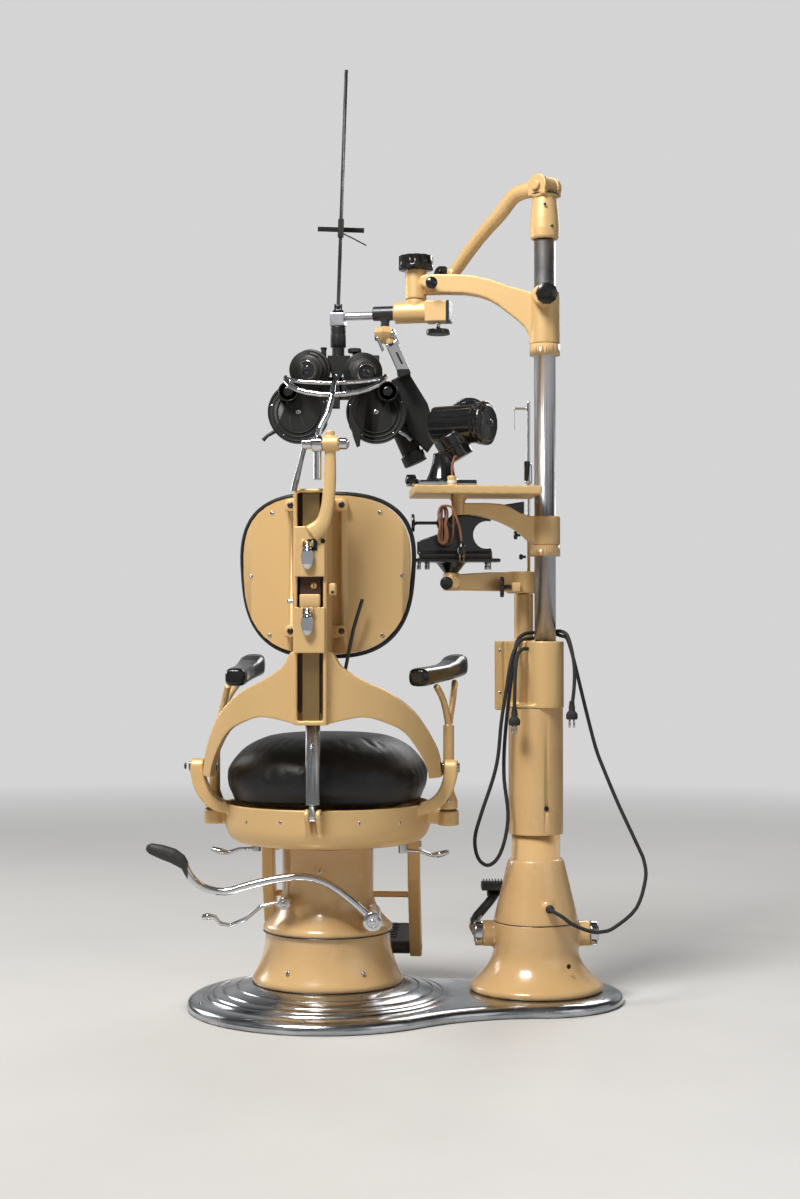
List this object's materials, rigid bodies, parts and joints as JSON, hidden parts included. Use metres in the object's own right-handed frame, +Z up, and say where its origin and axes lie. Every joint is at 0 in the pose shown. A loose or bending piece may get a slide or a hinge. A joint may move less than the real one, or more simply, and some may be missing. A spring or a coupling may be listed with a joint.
{
  "type": "ophthalmic examination chair",
  "caption": "Reclining examination chair on a pump pedestal, joined by its base plate to an instrument stand with refractor, keratometer, table and lamp arm.",
  "frame": {"origin": "axis of the chair's pedestal at the underside of the base plate, which stands on the floor", "axes": "+Z up, +Y the way the sitter faces, +X towards the instrument stand"},
  "size_m": [1.0605, 0.6428, 2.0628],
  "materials": {
    "cream_enamel": "glossy cream enamel on castings",
    "chrome": "polished chrome plate",
    "steel": "satin ground steel",
    "leather": "black leatherette, semi gloss",
    "bakelite": "black moulded grip, glossy",
    "black_enamel": "black instrument enamel, semi gloss",
    "rubber": "black rubber",
    "cord_rubber": "black cord sheath, matte",
    "flex_fabric": "brown braided flex",
    "rail_metal": "worn tan slide rail"
  },
  "bodies": {
    "base": {"base_plate": "chrome", "pedestal_skirt": "cream_enamel", "pump_housing": "cream_enamel", "lift_cylinder": "steel", "stand_foot": "cream_enamel", "stand_cone": "cream_enamel"},
    "pump": {"pump_lever": "chrome"},
    "release": {"release_lever": "chrome"},
    "pedal": {"pedal_arm": "chrome", "pedal_tread": "rubber"},
    "lift": {"lift_ram": "chrome"},
    "seat": {"seat_frame": "cream_enamel", "seat_cushion": "leather", "pivot_pins": "chrome"},
    "turn_lock": {"turn_lock_lever": "chrome"},
    "legrest_release": {"legrest_lever": "chrome"},
    "arm_left": {"arm_frame_left": "cream_enamel", "arm_pad_left": "bakelite"},
    "arm_right": {"arm_frame_right": "cream_enamel", "arm_pad_right": "bakelite"},
    "legrest": {"legrest_frame": "cream_enamel"},
    "tread": {"foot_tread": "rubber"},
    "back": {"back_yoke": "cream_enamel", "slide_rail": "rail_metal"},
    "recline_lock": {"recline_handle": "chrome"},
    "strut": {"strut_rod": "chrome"},
    "carriage": {"back_carriage": "cream_enamel", "back_panel": "cream_enamel", "back_cushion": "leather"},
    "back_catch": {"back_latch": "chrome"},
    "headrest": {"headrest_arm": "cream_enamel"},
    "head_catch": {"headrest_latch": "chrome"},
    "bow": {"headrest_bow": "chrome"},
    "clamp": {"headrest_clamp": "chrome"},
    "stand": {"stand_sleeve": "cream_enamel", "stand_head": "cream_enamel", "pole": "steel", "mains_lead": "cord_rubber", "head_lead": "cord_rubber", "short_lead": "cord_rubber"},
    "lamp_cap": {"pole_cap": "cream_enamel"},
    "lamp": {"lamp_arm": "cream_enamel"},
    "bracket": {"refractor_bracket": "cream_enamel"},
    "wheel": {"handwheel": "bakelite"},
    "hanger": {"refractor_arm": "cream_enamel"},
    "refractor": {"refractor_frame": "black_enamel"},
    "half_left": {"refractor_left": "black_enamel"},
    "half_right": {"refractor_right": "black_enamel"},
    "left_dial": {"dial_left": "bakelite"},
    "right_dial": {"dial_right": "bakelite"},
    "rod": {"near_rod": "chrome"},
    "holder": {"card_holder": "black_enamel"},
    "lamp_box": {"side_tube": "black_enamel"},
    "table": {"instrument_table": "cream_enamel", "flex_lead": "flex_fabric", "flex_hank": "flex_fabric", "flex_tail": "flex_fabric"},
    "scope": {"keratometer": "black_enamel"},
    "side_arm": {"lower_arm": "cream_enamel"},
    "side_instrument": {"lower_instrument": "black_enamel"}
  },
  "joints": [
    {"name": "pump_stroke", "type": "hinge", "parent": "base", "child": "pump", "pos_m": [0.0988, -0.155, 0.206], "axis": [0, -1, 0], "range_deg": [0, 22], "stiffness_Nm_per_rad": 22, "springref_deg": -20.05},
    {"name": "release_stroke", "type": "hinge", "parent": "base", "child": "release", "pos_m": [-0.0877, -0.104, 0.235], "axis": [0, -1, 0], "range_deg": [0, 18], "stiffness_Nm_per_rad": 2.5, "springref_deg": -17.19},
    {"name": "pedal_stroke", "type": "hinge", "parent": "base", "child": "pedal", "pos_m": [0.452, 0.056, 0.147], "axis": [-1, 0, 0], "range_deg": [0, 14], "stiffness_Nm_per_rad": 24, "springref_deg": -17.19},
    {"name": "seat_lift", "type": "slide", "parent": "base", "child": "lift", "axis": [0, 0, 1], "range_m": [0, 0.1]},
    {"name": "seat_turn", "type": "hinge", "parent": "lift", "child": "seat", "pos_m": [0, 0, 0.3563], "axis": [0, 0, 1], "range_deg": [-40, 6]},
    {"name": "turn_lock_swing", "type": "hinge", "parent": "seat", "child": "turn_lock", "pos_m": [-0.15204, -0.01681, 0.34], "axis": [0, 0, 1], "range_deg": [-12, 12]},
    {"name": "legrest_release_swing", "type": "hinge", "parent": "seat", "child": "legrest_release", "pos_m": [0.16089, -0.05423, 0.34], "axis": [0, 0, 1], "range_deg": [-12, 12]},
    {"name": "arm_left_swing", "type": "hinge", "parent": "seat", "child": "arm_left", "pos_m": [-0.24369, -0.00879, 0.409], "axis": [0, 0, 1], "range_deg": [0, 75]},
    {"name": "arm_right_swing", "type": "hinge", "parent": "seat", "child": "arm_right", "pos_m": [0.25839, -0.05272, 0.409], "axis": [0, 0, -1], "range_deg": [-16, 3]},
    {"name": "legrest_swing", "type": "hinge", "parent": "seat", "child": "legrest", "pos_m": [0.02316, 0.13851, 0.3343], "axis": [0.9962, -0.0872, 0], "range_deg": [0, 70]},
    {"name": "tread_fold", "type": "hinge", "parent": "legrest", "child": "tread", "pos_m": [0.0286, 0.20067, 0.0943], "axis": [0.9962, -0.0872, 0], "range_deg": [0, 60]},
    {"name": "recline", "type": "hinge", "parent": "seat", "child": "back", "pos_m": [-0.00654, -0.07472, 0.519], "axis": [0.9962, -0.0872, 0], "range_deg": [0, 25]},
    {"name": "strut_swing", "type": "hinge", "parent": "seat", "child": "strut", "pos_m": [-0.02153, -0.24606, 0.432], "axis": [0.9962, -0.0872, 0], "range_deg": [0, 15]},
    {"name": "recline_lock_swing", "type": "hinge", "parent": "back", "child": "recline_lock", "pos_m": [0.02864, -0.22335, 0.667], "axis": [0.0872, 0.9962, 0], "range_deg": [-10, 10]},
    {"name": "back_slide", "type": "slide", "parent": "back", "child": "carriage", "axis": [0, 0, 1], "range_m": [-0.035, 0.025]},
    {"name": "back_catch_flip", "type": "hinge", "parent": "carriage", "child": "back_catch", "pos_m": [-0.02951, -0.30288, 0.848], "axis": [-0.9962, 0.0872, 0], "range_deg": [0, 70]},
    {"name": "headrest_slide", "type": "slide", "parent": "back", "child": "headrest", "axis": [0, 0, 1], "range_m": [-0.03, 0.06]},
    {"name": "head_catch_flip", "type": "hinge", "parent": "headrest", "child": "head_catch", "pos_m": [-0.02951, -0.30288, 0.981], "axis": [-0.9962, 0.0872, 0], "range_deg": [0, 70]},
    {"name": "headrest_tilt", "type": "hinge", "parent": "headrest", "child": "bow", "pos_m": [-0.00973, -0.30632, 1.18], "axis": [0.9962, -0.0872, 0], "range_deg": [-20, 15]},
    {"name": "headrest_clamp_swing", "type": "hinge", "parent": "headrest", "child": "clamp", "pos_m": [-0.00973, -0.30632, 1.18], "axis": [0.9962, -0.0872, 0], "range_deg": [-40, 0]},
    {"name": "stand_lift", "type": "slide", "parent": "base", "child": "stand", "axis": [0, 0, 1], "range_m": [-0.03, 0.11]},
    {"name": "lamp_swing", "type": "hinge", "parent": "stand", "child": "lamp_cap", "pos_m": [0.471, 0.031, 1.7], "axis": [0, 0, 1], "range_deg": [-60, 8]},
    {"name": "lamp_tilt", "type": "hinge", "parent": "lamp_cap", "child": "lamp", "pos_m": [0.471, 0.031, 1.776], "axis": [0.6691, 0.7431, 0], "range_deg": [-5, 50]},
    {"name": "bracket_swing", "type": "hinge", "parent": "stand", "child": "bracket", "pos_m": [0.471, 0.031, 1.488], "axis": [0, 0, 1], "range_deg": [-14, 3]},
    {"name": "wheel_turn", "type": "hinge", "parent": "bracket", "child": "wheel", "pos_m": [0.19027, 0.09067, 1.6], "axis": [0, 0, 1], "continuous": true},
    {"name": "hanger_swing", "type": "hinge", "parent": "bracket", "child": "hanger", "pos_m": [0.19027, 0.09067, 1.512], "axis": [0, 0, 1], "range_deg": [-60, 10]},
    {"name": "refractor_turn", "type": "hinge", "parent": "hanger", "child": "refractor", "pos_m": [0.017, 0.125, 1.512], "axis": [0, 0, 1], "range_deg": [-20, 2]},
    {"name": "left_half_slide", "type": "slide", "parent": "refractor", "child": "half_left", "axis": [-1, 0, 0], "range_m": [0, 0.006]},
    {"name": "right_half_slide", "type": "slide", "parent": "refractor", "child": "half_right", "axis": [1, 0, 0], "range_m": [0, 0.006]},
    {"name": "left_dial_turn", "type": "hinge", "parent": "half_left", "child": "left_dial", "pos_m": [-0.092, 0.105, 1.336], "axis": [0, 1, 0], "range_deg": [-170, 170]},
    {"name": "right_dial_turn", "type": "hinge", "parent": "half_right", "child": "right_dial", "pos_m": [0.128, 0.105, 1.336], "axis": [0, 1, 0], "range_deg": [-170, 170]},
    {"name": "near_rod_fold", "type": "hinge", "parent": "refractor", "child": "rod", "pos_m": [0.017, 0.125, 1.531], "axis": [-1, 0, 0], "range_deg": [0, 90]},
    {"name": "card_slide", "type": "slide", "parent": "rod", "child": "holder", "axis": [0.0332, 0, 0.9995], "range_m": [-0.1, 0.3]},
    {"name": "lamp_box_tilt", "type": "hinge", "parent": "hanger", "child": "lamp_box", "pos_m": [0.12161, 0.10428, 1.464], "axis": [0.9809, -0.1943, 0], "range_deg": [0, 12]},
    {"name": "table_swing", "type": "hinge", "parent": "stand", "child": "table", "pos_m": [0.471, 0.031, 1.024], "axis": [0, 0, 1], "range_deg": [0, 8]},
    {"name": "scope_turn", "type": "hinge", "parent": "table", "child": "scope", "pos_m": [0.247, 0.006, 1.116], "axis": [0, 0, 1], "range_deg": [-10, 10], "deforming": ["flex_lead"]},
    {"name": "side_arm_swing", "type": "hinge", "parent": "stand", "child": "side_arm", "pos_m": [0.428, 0.086, 0.913], "axis": [0, 0, 1], "range_deg": [-60, 0]},
    {"name": "side_instrument_turn", "type": "hinge", "parent": "side_arm", "child": "side_instrument", "pos_m": [0.266, 0.025, 0.905], "axis": [0, 0, 1], "range_deg": [0, 12]}
  ],
  "couplings": [
    {"joint": "strut_swing", "follows": "recline", "ratio": 0.6},
    {"joint": "right_half_slide", "follows": "left_half_slide", "ratio": 1}
  ]
}
